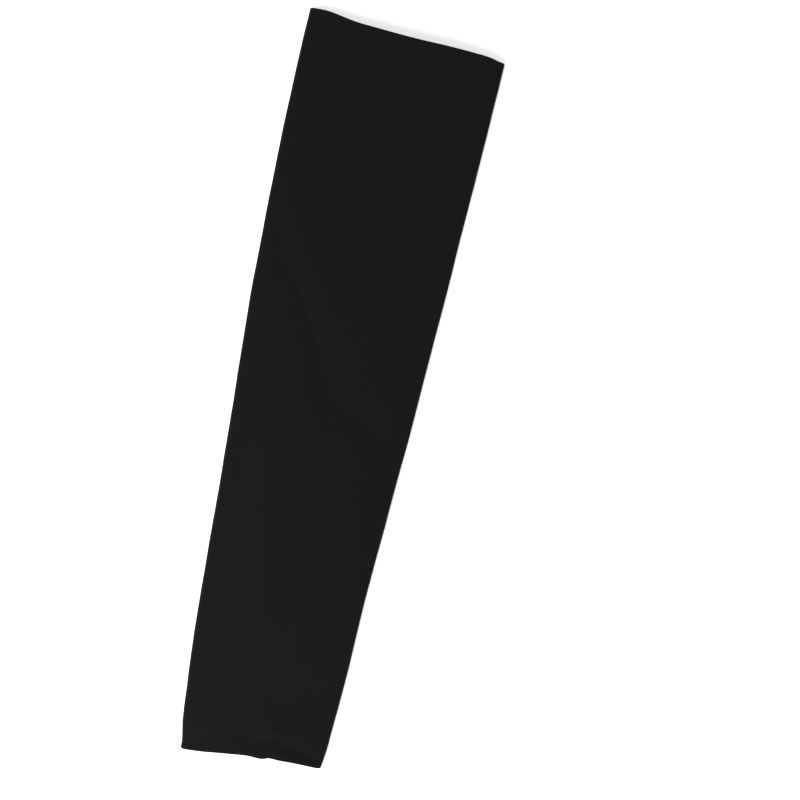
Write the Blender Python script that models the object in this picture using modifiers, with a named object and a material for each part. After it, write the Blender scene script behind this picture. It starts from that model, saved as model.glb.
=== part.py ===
"""Arm sleeve: a tapered knit tube with a turned-in hem at each mouth and one long seam, lying on its back.

Metres, +Z up. X runs across the sleeve and Y along it, from the wrist to the upper arm. It lies on Z = 0.
"""

import math
from collections import namedtuple

import bmesh
import bpy
import numpy as np

# Cut of the sleeve, laid flat
SLEEVE_LENGTH = 0.400
UPPER_WIDTH = 0.110
WRIST_WIDTH = 0.0765
UPPER_HEM = 0.018
WRIST_HEM = 0.014
UPPER_EDGE_SWING = 0.0048
WRIST_EDGE_SWING = 0.0034

# Cloth
WALL = 0.001
HEM_PLIES = 2
SEAM_ALLOWANCE = 0.005
SEAM_THICKNESS = 0.0016
CLEARANCE = 0.0003

# How the cloth lies
INNER_BEND = 0.0008
CROWN = 0.0047
CROWN_POWER = 2.4
FOLD_LEAN = math.radians(10)
GROOVE_DEPTH = 0.0003
GROOVE_WIDTH = 0.0032
CREASE_DEPTH = 0.0012
CREASE_BELOW = 0.014
CREASE_ABOVE = 0.024
CREASE_POWER = 3
RIDGE_HEIGHT = 0.0007
RIDGE_BELOW = 0.028
RIDGE_ABOVE = 0.015
RIDGE_POWER = 2

# Fineness of the mesh
SPANS_BELOW_CREASE = 15
SPANS_CREASE_TO_RIDGE = 6
SPANS_ABOVE_RIDGE = 12
ROW_CLOSENESS = 0.5
TOP_ACROSS = (0.09, 0.19, 0.30, 0.42, 0.54, 0.66, 0.77, 0.87, 0.95, 1.0)
FOLD_STEPS = 5
UNDER_STEPS = 8
LIP_STEPS = 4
HEM_STEPS = 3
SLOPE_STEP = 0.02
NORMAL_STEP = 0.0004

CLOTH_BLACK = (0.0110, 0.0110, 0.0112, 1.0)
THREAD_BLACK = (0.0095, 0.0095, 0.0100, 1.0)

HEM_WALL = HEM_PLIES * WALL
FOLD_RADIUS = HEM_WALL + INNER_BEND
MEAN_WIDTH = (UPPER_WIDTH + WRIST_WIDTH) / 2


def table(names, rows):
    """A table's columns by name."""
    return dict(zip(names.split(), np.array(rows, float).T))


# along: share of the length from the wrist. ease: 0 at the wrist's width, 1 at the upper arm's.
# sway: how far the middle lies off the axis, as a share of the upper width. crown: share of CROWN.
OUTLINE = table("along ease sway crown", [
    (0.00, 0.00, -0.006, 1.00),
    (0.03, 0.11, -0.010, 0.98),
    (0.08, 0.20, -0.012, 0.90),
    (0.14, 0.29, -0.017, 0.90),
    (0.24, 0.38, -0.021, 0.96),
    (0.35, 0.50, -0.020, 1.00),
    (0.46, 0.63, -0.019, 1.00),
    (0.57, 0.76, -0.022, 0.98),
    (0.68, 0.86, -0.021, 1.00),
    (0.79, 0.93, -0.018, 1.00),
    (0.90, 0.99, -0.012, 0.98),
    (1.00, 1.00, -0.004, 1.10),
])

# The long seam. across: share of the upper width, to the right of the axis.
SEAM_PATH = table("along across", [
    (0.00, 0.065),
    (0.07, 0.044),
    (0.14, 0.041),
    (0.20, 0.047),
    (0.25, 0.047),
    (0.31, 0.042),
    (0.38, 0.041),
    (0.45, 0.031),
    (0.49, 0.022),
    (0.56, 0.032),
    (0.63, 0.036),
    (0.75, 0.035),
    (0.83, 0.030),
    (0.89, 0.029),
    (0.94, 0.036),
    (1.00, 0.020),
])

# In the tables below, across is -1 at the left fold, 0 at the seam and 1 at the right fold.
# Edge of each mouth. rise: share of that edge's swing, towards the upper arm.
UPPER_EDGE = table("across rise", [
    (-1.00, 1.00),
    (-0.86, 0.95),
    (-0.74, 0.70),
    (-0.60, 0.38),
    (-0.33, 0.10),
    (0.00, -0.12),
    (0.47, -0.21),
    (0.72, -0.29),
    (0.86, -0.35),
    (1.00, -0.55),
])
WRIST_EDGE = table("across rise", [
    (-1.00, -1.10),
    (-0.79, -0.78),
    (-0.60, -0.37),
    (-0.42, -0.03),
    (-0.20, 0.29),
    (-0.03, 0.28),
    (0.04, 0.51),
    (0.30, 0.58),
    (0.60, 0.61),
    (0.80, 0.52),
    (1.00, 0.38),
])

# The sharp crease that runs from the left fold down across the seam to the right fold.
# depth: share of CREASE_DEPTH. width: share of how far the crease reaches.
CREASE = table("across along depth width", [
    (-1.00, 0.705, 0.00, 0.80),
    (-0.85, 0.674, 0.40, 0.80),
    (-0.70, 0.643, 0.80, 0.80),
    (-0.55, 0.615, 1.00, 0.80),
    (-0.40, 0.582, 1.00, 0.80),
    (-0.27, 0.549, 1.00, 0.82),
    (-0.12, 0.514, 0.90, 0.90),
    (0.05, 0.490, 0.85, 1.00),
    (0.30, 0.481, 0.95, 1.20),
    (0.55, 0.471, 0.95, 1.35),
    (0.78, 0.457, 0.75, 1.40),
    (1.00, 0.449, 0.00, 1.40),
])

# The soft ridge above the crease. height: share of RIDGE_HEIGHT.
RIDGE = table("across along height", [
    (-1.00, 0.790, 0.00),
    (-0.70, 0.702, 0.25),
    (-0.55, 0.672, 0.40),
    (-0.27, 0.616, 1.00),
    (-0.12, 0.603, 1.00),
    (0.10, 0.598, 1.00),
    (0.30, 0.578, 0.90),
    (0.55, 0.565, 0.80),
    (0.78, 0.543, 0.60),
    (1.00, 0.530, 0.00),
])

Column = namedtuple("Column", "part across shift turn", defaults=(0.0, 0.0))


def look_up(rows, by, wanted, value):
    """The smooth curve through a table's column at a value of another column."""
    known, found = rows[by], rows[wanted]
    value = min(max(value, known[0]), known[-1])
    slopes = np.gradient(found, known)
    i = min(int(np.searchsorted(known, value, side="right")) - 1, len(known) - 2)
    step = known[i + 1] - known[i]
    t = (value - known[i]) / step
    start = found[i] * (1 + 2 * t) * (1 - t) ** 2 + slopes[i] * step * t * (1 - t) ** 2
    end = found[i + 1] * t * t * (3 - 2 * t) + slopes[i + 1] * step * t * t * (t - 1)
    return float(start + end)


def section_at(along):
    """Left fold, right fold and seam across the sleeve, and the crown, at a distance from the wrist."""
    share = along / SLEEVE_LENGTH
    width = WRIST_WIDTH + (UPPER_WIDTH - WRIST_WIDTH) * look_up(OUTLINE, "along", "ease", share)
    middle = UPPER_WIDTH * look_up(OUTLINE, "along", "sway", share)
    seam = UPPER_WIDTH * look_up(SEAM_PATH, "along", "across", share)
    crown = CROWN * look_up(OUTLINE, "along", "crown", share)
    return middle - width / 2, middle + width / 2, seam, crown


def upper_edge(across):
    return SLEEVE_LENGTH + UPPER_EDGE_SWING * look_up(UPPER_EDGE, "across", "rise", across)


def wrist_edge(across):
    return WRIST_EDGE_SWING * look_up(WRIST_EDGE, "across", "rise", across)


def crease_line(across):
    return SLEEVE_LENGTH * look_up(CREASE, "across", "along", across)


def ridge_line(across):
    return SLEEVE_LENGTH * look_up(RIDGE, "across", "along", across)


def steepness(line, across):
    """How much longer a step along the sleeve is than one square to a line across it."""
    low, high = max(across - SLOPE_STEP, -1), min(across + SLOPE_STEP, 1)
    run = (high - low) * MEAN_WIDTH / 2
    return math.hypot(1, (line(high) - line(low)) / run)


def flanks(off, reach, power):
    """1 on a line and 0 from its reach away, steepest beside the line."""
    return max(1 - abs(off) / reach, 0) ** power


def bump(share):
    """1 in the middle, and 0 from half a width away."""
    return math.cos(math.pi * share) ** 2 if abs(share) < 0.5 else 0.0


def relief(across, off_seam, along):
    """How far folds and the seam raise or lower the top ply."""
    off = along - crease_line(across)
    width = look_up(CREASE, "across", "width", across) * steepness(crease_line, across)
    reach = (CREASE_BELOW if off < 0 else CREASE_ABOVE) * width
    crease = CREASE_DEPTH * look_up(CREASE, "across", "depth", across) * flanks(off, reach, CREASE_POWER)
    off = along - ridge_line(across)
    reach = (RIDGE_BELOW if off < 0 else RIDGE_ABOVE) * steepness(ridge_line, across)
    ridge = RIDGE_HEIGHT * look_up(RIDGE, "across", "height", across) * flanks(off, reach, RIDGE_POWER)
    return ridge - crease - GROOVE_DEPTH * bump(off_seam / GROOVE_WIDTH)


def fold_point(side, turn, left, right):
    """A point of a side fold. turn is 90 degrees at its top, 0 at its outermost line and -90 at its foot."""
    middle = right - FOLD_RADIUS if side > 0 else left + FOLD_RADIUS
    return middle + side * FOLD_RADIUS * math.cos(turn), FOLD_RADIUS * (1 + math.sin(turn))


def outer_point(column, along):
    """The point of the sleeve's outer surface where a column crosses a distance from the wrist."""
    left, right, seam, crown = section_at(along)
    side = -1 if column.across < 0 else 1
    if column.part == "fold":
        x, z = fold_point(side, column.turn, left, right)
    elif column.part == "under":
        x = left + FOLD_RADIUS + (column.across + 1) / 2 * (right - left - 2 * FOLD_RADIUS)
        z = 0.0
    else:
        end, shoulder = fold_point(side, math.pi / 2 - FOLD_LEAN, left, right)
        x = seam + abs(column.across) * (end - seam) + column.shift
        across = (x - seam) / abs(end - seam)
        z = shoulder + crown * (1 - abs(across) ** CROWN_POWER) + relief(across, x - seam, along)
    return np.array((x, along, z))


def columns_round():
    """The columns round the tube: top ply from left to right, right fold, under ply, left fold."""
    half_groove = GROOVE_WIDTH / 2
    top = [Column("top", -a) for a in reversed(TOP_ACROSS)]
    top += [Column("top", 0.0, shift) for shift in (-half_groove, 0.0, half_groove)]
    top += [Column("top", a) for a in TOP_ACROSS]
    turns = np.linspace(math.pi / 2 - FOLD_LEAN, -math.pi / 2, FOLD_STEPS + 1)[1:-1]
    under = [Column("under", a) for a in np.linspace(1, -1, UNDER_STEPS + 1)]
    right_fold = [Column("fold", 1.0, 0.0, turn) for turn in turns]
    left_fold = [Column("fold", -1.0, 0.0, turn) for turn in reversed(turns)]
    return top + right_fold + under + left_fold


def along_line(line, column):
    """Where a line across the sleeve crosses a column. Underneath, it bends half as much as on top."""
    if column.part == "under":
        straight = line(-1) + (column.across + 1) / 2 * (line(1) - line(-1))
        return (straight + line(column.across)) / 2
    return line(column.across)


def normal_at(columns, i, along):
    """The outward direction of the outer surface."""
    column = columns[i]
    before, after = columns[i - 1], columns[(i + 1) % len(columns)]
    round_it = outer_point(after, along) - outer_point(before, along)
    along_it = outer_point(column, along + NORMAL_STEP) - outer_point(column, along - NORMAL_STEP)
    normal = np.cross(along_it, round_it)
    return -normal / np.linalg.norm(normal)


def body_rows():
    """The lines across the body, from the wrist hem to the upper hem, as functions of across."""
    def wrist_end(a):
        return wrist_edge(a) + WRIST_HEM + CLEARANCE

    def upper_end(a):
        return upper_edge(a) - UPPER_HEM - CLEARANCE

    def spread(first, last, spans):
        turns = np.linspace(0, 2 * math.pi, spans + 1)
        shares = (turns - ROW_CLOSENESS * np.sin(turns)) / (2 * math.pi)
        return [lambda a, share=share: (1 - share) * first(a) + share * last(a) for share in shares]

    below = spread(wrist_end, crease_line, SPANS_BELOW_CREASE)
    between = spread(crease_line, ridge_line, SPANS_CREASE_TO_RIDGE)
    above = spread(ridge_line, upper_end, SPANS_ABOVE_RIDGE)
    return below + between[1:-1] + above


def mesh_object(name, rings, closed_round, closed_along, collection):
    """An object whose mesh joins the points of each ring to those of the next."""
    mesh = bpy.data.meshes.new(name)
    shape = bmesh.new()
    made = [[shape.verts.new(point) for point in ring] for ring in rings]
    ring_pairs = zip(made, made[1:] + made[:1]) if closed_along else zip(made, made[1:])
    for ring, following in ring_pairs:
        count = len(ring) if closed_round else len(ring) - 1
        for i in range(count):
            j = (i + 1) % len(ring)
            shape.faces.new((ring[i], ring[j], following[j], following[i]))
    shape.to_mesh(mesh)
    shape.free()
    mesh.shade_smooth()
    obj = bpy.data.objects.new(name, mesh)
    collection.objects.link(obj)
    return obj


def solidify(obj, thickness):
    """Gives the open sheet its thickness, inwards."""
    shell = obj.modifiers.new("cloth thickness", "SOLIDIFY")
    shell.thickness = thickness
    shell.offset = -1
    shell.use_even_offset = True
    shell.use_quality_normals = True


def make_body(collection):
    """The knit tube between the two hems."""
    columns = columns_round()
    rings = [[outer_point(c, along_line(row, c)) for c in columns] for row in body_rows()]
    body = mesh_object("sleeve_body", rings, True, False, collection)
    solidify(body, WALL)
    return body


def hem_profile(depth):
    """A hem's section as distances from the mouth and insets, out over the mouth's lip and back inside."""
    lip = HEM_WALL / 2
    outside = [(depth + (lip - depth) * i / HEM_STEPS, 0.0) for i in range(HEM_STEPS)]
    turns = [math.pi * i / LIP_STEPS for i in range(LIP_STEPS + 1)]
    over = [(lip - lip * math.sin(turn), lip - lip * math.cos(turn)) for turn in turns]
    inside = [(back, HEM_WALL) for back, _ in reversed(outside)]
    return outside + over + inside


def make_hem(name, edge, towards_wrist, depth, collection):
    """A doubled band round a mouth: the cloth turned inside and stitched down."""
    columns = columns_round()
    rings = []
    for back, inset in hem_profile(depth):
        ring = []
        for i, column in enumerate(columns):
            along = along_line(edge, column) + towards_wrist * back
            ring.append(outer_point(column, along) - inset * normal_at(columns, i, along))
        rings.append(ring)
    if towards_wrist > 0:
        rings.reverse()
    return mesh_object(name, rings, True, True, collection)


def make_seam_allowance(collection):
    """The overlocked edges of the cloth, laid to the right of the seam on the inside of the top ply."""
    half_groove = GROOVE_WIDTH / 2
    shifts = (-half_groove, 0.0, half_groove, (half_groove + SEAM_ALLOWANCE) / 2, SEAM_ALLOWANCE)
    strip = [Column("top", 0.0, shift) for shift in shifts + (SEAM_ALLOWANCE + half_groove,)]
    _, right, middle, _ = section_at(0.0)
    covered = np.linspace(0, SEAM_ALLOWANCE / (right - middle), UNDER_STEPS)
    start = max(wrist_edge(a) for a in covered) + WRIST_HEM + CLEARANCE
    end = min(upper_edge(a) for a in covered) - UPPER_HEM - CLEARANCE
    rows = [lambda a: start] + body_rows()[1:-1] + [lambda a: end]
    inset = WALL + CLEARANCE
    rings = []
    for row in rows:
        ring = []
        for i in range(1, len(strip) - 1):
            beyond_groove = strip[i].shift > half_groove
            along = row(strip[i].shift / (right - middle) if beyond_groove else 0.0)
            ring.append(outer_point(strip[i], along) - inset * normal_at(strip, i, along))
        rings.append(ring)
    seam = mesh_object("seam_allowance", rings, False, False, collection)
    solidify(seam, SEAM_THICKNESS)
    return seam


def material(name, colour, roughness):
    made = bpy.data.materials.new(name)
    made.use_nodes = True
    shader = made.node_tree.nodes["Principled BSDF"]
    shader.inputs["Base Color"].default_value = colour
    shader.inputs["Roughness"].default_value = roughness
    shader.inputs["Metallic"].default_value = 0.0
    made.diffuse_color = colour
    return made


def centre_on_origin(pieces):
    """Moves the sleeve so that the origin lies under the middle of its box, on the surface it rests on."""
    points = np.array([vertex.co for piece in pieces for vertex in piece.data.vertices])
    middle = (points.min(axis=0) + points.max(axis=0)) / 2
    for piece in pieces:
        for vertex in piece.data.vertices:
            vertex.co.x -= middle[0]
            vertex.co.y -= middle[1]


def main():
    for obj in list(bpy.data.objects):
        bpy.data.objects.remove(obj, do_unlink=True)
    sleeve = bpy.data.collections.new("arm_sleeve")
    bpy.context.scene.collection.children.link(sleeve)

    body = make_body(sleeve)
    upper_hem = make_hem("upper_hem", upper_edge, -1, UPPER_HEM, sleeve)
    wrist_hem = make_hem("wrist_hem", wrist_edge, 1, WRIST_HEM, sleeve)
    seam = make_seam_allowance(sleeve)

    body.data.materials.append(material("knit_cloth", CLOTH_BLACK, 0.85))
    upper_hem.data.materials.append(material("upper_hem_cloth", CLOTH_BLACK, 0.85))
    wrist_hem.data.materials.append(material("wrist_hem_cloth", CLOTH_BLACK, 0.85))
    seam.data.materials.append(material("overlock_thread", THREAD_BLACK, 0.75))
    centre_on_origin([body, upper_hem, wrist_hem, seam])


main()
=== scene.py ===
"""Arm sleeve, dressed: knit cloth, turned-in hems, seam and stitching round the packed model.

Metres, +Z up, in the packed model's own frame. X runs across the sleeve and Y along it, from the wrist to
the upper arm. The sleeve lies on Z = 0 with its long seam on top.
"""

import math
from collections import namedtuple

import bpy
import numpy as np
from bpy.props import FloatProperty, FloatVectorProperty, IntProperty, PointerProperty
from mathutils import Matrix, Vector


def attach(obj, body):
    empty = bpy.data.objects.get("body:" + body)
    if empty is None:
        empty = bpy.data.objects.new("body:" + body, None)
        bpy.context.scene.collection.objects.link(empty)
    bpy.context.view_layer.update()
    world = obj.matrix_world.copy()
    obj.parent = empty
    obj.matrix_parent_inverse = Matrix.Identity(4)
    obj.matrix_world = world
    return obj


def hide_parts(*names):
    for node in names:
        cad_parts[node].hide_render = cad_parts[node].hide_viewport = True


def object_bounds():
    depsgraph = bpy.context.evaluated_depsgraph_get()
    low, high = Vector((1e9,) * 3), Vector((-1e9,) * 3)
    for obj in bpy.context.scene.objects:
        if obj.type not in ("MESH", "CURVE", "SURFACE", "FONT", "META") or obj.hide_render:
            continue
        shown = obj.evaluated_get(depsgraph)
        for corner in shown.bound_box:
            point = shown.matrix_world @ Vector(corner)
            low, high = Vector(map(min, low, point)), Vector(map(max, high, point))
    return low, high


bl_info = {
    "name": "Arm Sleeve",
    "version": (1, 0, 0),
    "blender": (4, 5, 0),
    "location": "3D View > Sidebar > Arm Sleeve",
    "description": "A flat-lying knit arm sleeve with its hems, seam and stitching",
    "category": "Object",
}

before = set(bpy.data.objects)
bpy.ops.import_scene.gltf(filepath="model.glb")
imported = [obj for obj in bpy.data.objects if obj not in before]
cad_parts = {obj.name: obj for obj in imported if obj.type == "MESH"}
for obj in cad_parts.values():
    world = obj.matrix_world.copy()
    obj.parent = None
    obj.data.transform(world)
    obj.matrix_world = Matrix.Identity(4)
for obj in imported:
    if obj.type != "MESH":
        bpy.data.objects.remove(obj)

CAD_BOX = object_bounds()


def to_linear(code):
    """An sRGB hex colour as linear red, green and blue."""
    parts = [int(code[i:i + 2], 16) / 255 for i in (0, 2, 4)]
    return tuple(c / 12.92 if c <= 0.04045 else ((c + 0.055) / 1.055) ** 2.4 for c in parts)


def length_setting(name, description, default):
    """A size in metres, for a property group."""
    return FloatProperty(name=name, description=description, default=default, unit="LENGTH", precision=5)


def colour_setting(name, description, code):
    """A colour from its sRGB hex code, for a property group."""
    return FloatVectorProperty(name=name, description=description, default=to_linear(code), subtype="COLOR")


class SleeveCut(bpy.types.PropertyGroup):
    """Sizes of the sleeve, laid flat."""

    length: length_setting("Length", "From mouth to mouth, before the edges' swing", 0.400)
    upper_width: length_setting("Upper width", "Flat width at the upper arm", 0.110)
    wrist_width: length_setting("Wrist width", "Flat width at the wrist", 0.0765)
    upper_hem: length_setting("Upper hem", "Depth of the turned-in hem at the upper arm", 0.018)
    wrist_hem: length_setting("Wrist hem", "Depth of the turned-in hem at the wrist", 0.014)
    upper_swing: length_setting("Upper edge swing", "How far the upper edge leaves a square cut", 0.0048)
    wrist_swing: length_setting("Wrist edge swing", "How far the wrist edge leaves a square cut", 0.0034)
    allowance: length_setting("Seam allowance", "Cloth inside the seam, to its overlocked edge", 0.005)
    seam_bulk: length_setting("Seam bulk", "Thickness of the two overlocked edges together", 0.0016)


class SleeveCloth(bpy.types.PropertyGroup):
    """The knit and its colours."""

    ply: length_setting("Ply", "Thickness of one layer of the knit", 0.0009)
    ply_gap: length_setting("Gap in a hem", "Between a hem's two plies", 0.0001)
    wale: length_setting("Wale spacing", "Width of one column of knit stitches", 0.00065)
    course: length_setting("Course spacing", "Height of one row of knit stitches", 0.00050)
    face: colour_setting("Face", "The smooth outer side of the knit", "171717")
    # Painted shade: the darker colour that the knit is painted in between its loops, and a thread between
    # its strands
    painted_gap_shade: colour_setting("Between loops", "Where light sinks in between the loops", "101010")
    reverse: colour_setting("Reverse", "The purl side, inside the sleeve", "141414")
    thread: colour_setting("Thread", "Sewing and overlock thread", "171717")


class SleeveLie(bpy.types.PropertyGroup):
    """How the cloth lies: its folds, creases and hollows."""

    fold: length_setting("Fold radius", "Outer radius of the side folds", 0.0028)
    crown: length_setting("Crown", "Rise of the top ply from its side folds to the middle", 0.0047)
    crease_depth: length_setting("Crease depth", "Depth of the crease across the elbow", 0.0012)
    crease_below: length_setting("Crease, below", "How far the cloth slopes down to the crease", 0.014)
    crease_above: length_setting("Crease, above", "How far the cloth slopes up from the crease", 0.024)
    ridge_height: length_setting("Ridge height", "Height of the soft ridge above the crease", 0.0007)
    ridge_below: length_setting("Ridge, below", "How far the cloth slopes up to the ridge", 0.028)
    ridge_above: length_setting("Ridge, above", "How far the cloth slopes down beyond the ridge", 0.015)
    dent: length_setting("Dents", "Height that the table of soft dents is given in", 0.001)
    unevenness: length_setting("Unevenness", "Height of the slight waves all over the cloth", 0.00006)
    seam_depth: length_setting("Seam depth", "Depth of the line where the cloth turns in", 0.00020)
    seam_width: length_setting("Seam width", "Width of that line", 0.0024)
    pucker: length_setting("Puckers", "Height of the small puckers beside the seam", 0.00009)
    upper_rise: length_setting("Upper hem rise", "How far the upper hem's inner ply lifts it", 0.00012)
    wrist_rise: length_setting("Wrist hem rise", "How far the wrist hem's inner ply lifts it", 0.00030)
    upper_pull: length_setting("Upper hem pull", "How deep the stitching pulls into the upper hem", 0.00006)
    wrist_pull: length_setting("Wrist hem pull", "How deep the stitching pulls into the wrist hem", 0.00045)
    upper_flare: length_setting("Upper hem flare", "How far the upper hem's lip stands up", 0.00040)
    wrist_flare: length_setting("Wrist hem flare", "How far the wrist hem's lip stands up", 0.00040)
    row_depth: length_setting("Stitch row depth", "How much deeper each row of stitches lies", 0.00006)


class SleeveSewing(bpy.types.PropertyGroup):
    """Stitches and threads."""

    stitch: length_setting("Stitch length", "From one needle hole to the next", 0.0027)
    thread: length_setting("Thread", "Diameter of the thread", 0.00028)
    upper_row: length_setting("Upper hem, first row", "From the upper edge to the first stitch row", 0.0114)
    upper_gauge: length_setting("Upper hem, gauge", "Between the two stitch rows of the upper hem", 0.0048)
    wrist_row: length_setting("Wrist hem, first row", "From the wrist edge to the first stitch row", 0.0070)
    wrist_gauge: length_setting("Wrist hem, gauge", "Between the two stitch rows of the wrist hem", 0.0032)
    overlock: length_setting("Overlock stitch", "Spacing of the overlock loops", 0.0023)
    rung: length_setting("Seam rung", "Width of the needle thread that shows in the seam", 0.0009)
    thread_sides: IntProperty(name="Thread sides", description="Sides of a thread's section", default=6)


class SleeveStage(bpy.types.PropertyGroup):
    """Floor, light and camera."""

    floor: colour_setting("Floor", "Plain pale floor", "fafafa")
    glow: FloatProperty(name="Floor glow", description="Light that the table gives off", default=0.45)
    world: FloatProperty(name="Room light", description="Strength of the even light around", default=0.56)
    key: FloatProperty(name="Key light", description="Power of the soft light", default=24.0, unit="POWER")
    key_size: length_setting("Key light size", "Width of the round soft light", 1.1)
    key_place: FloatVectorProperty(name="Key light place", description="Middle of the soft light",
                                   default=(-0.42, -0.82, 0.98), subtype="TRANSLATION", unit="LENGTH")
    view_width: length_setting("View width", "Width of the picture at the sleeve's height", 0.4343)
    view_x: length_setting("View centre, across", "Point of the sleeve's frame under the camera", 0.0384)
    view_y: length_setting("View centre, along", "Point of the sleeve's frame under the camera", 0.00597)
    turn: FloatProperty(name="Turn", description="Turn of the picture about the upright",
                        default=math.radians(12.26), subtype="ANGLE")
    lens: FloatProperty(name="Lens", description="Focal length of the camera", default=85.0, unit="CAMERA")


def table(names, rows):
    """A table's columns by name."""
    return dict(zip(names.split(), np.array(rows, float).T))


# along: share of the length from the wrist. ease: 0 at the wrist's width, 1 at the upper arm's.
# sway: how far the middle lies off the axis, as a share of the upper width. crown: share of the crown.
OUTLINE = table("along ease sway crown", [
    (0.00, 0.00, -0.006, 1.00),
    (0.03, 0.11, -0.010, 0.98),
    (0.08, 0.20, -0.012, 0.90),
    (0.14, 0.29, -0.017, 0.90),
    (0.24, 0.38, -0.021, 0.96),
    (0.35, 0.50, -0.020, 1.00),
    (0.46, 0.63, -0.019, 1.00),
    (0.57, 0.76, -0.022, 0.98),
    (0.68, 0.86, -0.021, 1.00),
    (0.79, 0.93, -0.018, 1.00),
    (0.90, 0.99, -0.012, 0.98),
    (1.00, 1.00, -0.004, 1.10),
])

# The long seam. across: share of the upper width, to the right of the axis.
SEAM_PATH = table("along across", [
    (0.00, 0.065),
    (0.07, 0.044),
    (0.14, 0.041),
    (0.20, 0.047),
    (0.25, 0.047),
    (0.31, 0.042),
    (0.38, 0.041),
    (0.45, 0.031),
    (0.49, 0.022),
    (0.56, 0.032),
    (0.63, 0.036),
    (0.75, 0.035),
    (0.83, 0.030),
    (0.89, 0.029),
    (0.94, 0.036),
    (1.00, 0.020),
])

# In the tables below, across is -1 at the left fold, 0 at the seam and 1 at the right fold.
# Edge of each mouth. rise: share of that edge's swing, towards the upper arm.
UPPER_EDGE = table("across rise", [
    (-1.00, 1.00),
    (-0.86, 0.95),
    (-0.74, 0.70),
    (-0.60, 0.38),
    (-0.33, 0.10),
    (0.00, -0.12),
    (0.47, -0.21),
    (0.72, -0.29),
    (0.86, -0.35),
    (1.00, -0.55),
])
WRIST_EDGE = table("across rise", [
    (-1.00, -1.10),
    (-0.79, -0.78),
    (-0.60, -0.37),
    (-0.42, -0.03),
    (-0.20, 0.29),
    (-0.03, 0.28),
    (0.04, 0.51),
    (0.30, 0.58),
    (0.60, 0.61),
    (0.80, 0.52),
    (1.00, 0.38),
])

# The sharp crease from the left fold down across the seam to the right fold.
# depth: share of the crease's depth. width: share of its width.
CREASE = table("across along depth width", [
    (-1.00, 0.719, 0.00, 0.80),
    (-0.85, 0.688, 0.40, 0.80),
    (-0.70, 0.657, 0.80, 0.80),
    (-0.55, 0.627, 1.00, 0.80),
    (-0.40, 0.593, 1.00, 0.80),
    (-0.27, 0.559, 1.00, 0.82),
    (-0.12, 0.521, 0.90, 0.90),
    (0.05, 0.494, 0.85, 1.00),
    (0.30, 0.484, 0.95, 1.20),
    (0.55, 0.471, 0.95, 1.35),
    (0.78, 0.457, 0.75, 1.40),
    (1.00, 0.449, 0.00, 1.40),
])

# The soft ridge above the crease. height: share of the ridge's height.
RIDGE = table("across along height", [
    (-1.00, 0.790, 0.00),
    (-0.70, 0.702, 0.25),
    (-0.55, 0.672, 0.40),
    (-0.27, 0.616, 1.00),
    (-0.12, 0.603, 1.00),
    (0.10, 0.598, 1.00),
    (0.30, 0.578, 0.90),
    (0.55, 0.565, 0.80),
    (0.78, 0.543, 0.60),
    (1.00, 0.530, 0.00),
])

# Soft swells and hollows of the top ply. wide and long: half sizes as shares of the upper width. turn:
# degrees that the long side leans to the left. height: share of the dent height, below 0 for a hollow.
DENTS = table("across along wide long turn height", [
    (-0.40, 0.230, 0.10, 0.55, 3.0, 0.55),
    (-0.72, 0.300, 0.07, 0.70, 6.0, -0.35),
    (-0.45, 0.085, 0.45, 0.10, 0.0, -0.60),
    (0.70, 0.100, 0.22, 0.07, -10.0, -0.60),
    (0.60, 0.020, 0.16, 0.028, -14.0, -0.80),
    (-0.225, 0.0245, 0.022, 0.060, 52.0, -0.40),
    (0.03, 0.014, 0.030, 0.050, 4.0, -0.40),
    (-0.10, 0.355, 0.060, 0.022, 0.0, -0.25),
    (-0.70, 0.860, 0.25, 0.30, 0.0, 0.25),
    (0.45, 0.880, 0.20, 0.35, 0.0, 0.25),
    (0.95, 0.995, 0.28, 0.16, 0.0, 1.10),
])

# How the seam shows. line: share of its depth, below 0 where it stands up. left and right: share of the
# puckers' height on each side.
SEAM_LOOK = table("along line left right", [
    (0.00, 0.6, 0.8, 1.2),
    (0.06, 0.7, 1.0, 1.2),
    (0.12, 1.0, 0.4, 0.4),
    (0.20, 1.1, 0.2, 0.3),
    (0.30, 1.1, 0.2, 0.3),
    (0.36, 1.0, 0.8, 1.4),
    (0.40, 0.9, 0.3, 0.4),
    (0.50, 0.7, 0.8, 0.8),
    (0.60, 0.4, 0.5, 0.6),
    (0.68, 0.3, 0.4, 1.0),
    (0.80, 0.2, 0.6, 1.2),
    (0.86, -0.3, 1.0, 1.0),
    (0.92, -0.5, 0.3, 0.3),
    (1.00, -0.4, 0.5, 0.6),
])

# Parts of the tube round its section
TOP, FOLD, UNDER = 0, 1, 2

# Slight waves that keep the cloth from looking ruled. length: metres. turn: degrees from across. phase:
# radians. height: share of the unevenness.
WAVES = table("length turn phase height", [
    (0.0610, 62.0, 0.4, 1.00),
    (0.0430, 101.0, 2.1, 0.80),
    (0.0270, 35.0, 4.0, 0.45),
    (0.0190, 128.0, 1.2, 0.35),
    (0.0117, 80.0, 5.1, 0.20),
])

# No sum of these waves is higher than this many times the unevenness.
WAVES_LIMIT = 3

# How the top ply swells, leans and fades into the side folds. SIDE_FADE is a share of each half of it.
CROWN_POWER = 2.4
FOLD_LEAN = math.radians(10)
LEAN_POWER = 4
SIDE_FADE = 0.12

# How sharp the crease and the ridge are
CREASE_BEND = 0.0018
CREASE_POWER = 3
RIDGE_BEND = 0.0022
RIDGE_POWER = 2

# The puckers beside the seam. Their spacing, in stitches, drifts by waves of turn, length and start.
PUCKER_SPACING = 1.9
PUCKER_DRIFT = ((1.1, 0.0061, 0.0), (0.8, 0.0023, 1.0))
PUCKER_LAG = 1.3
PUCKER_START = 0.0007
PUCKER_REACH = 0.0032

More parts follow.
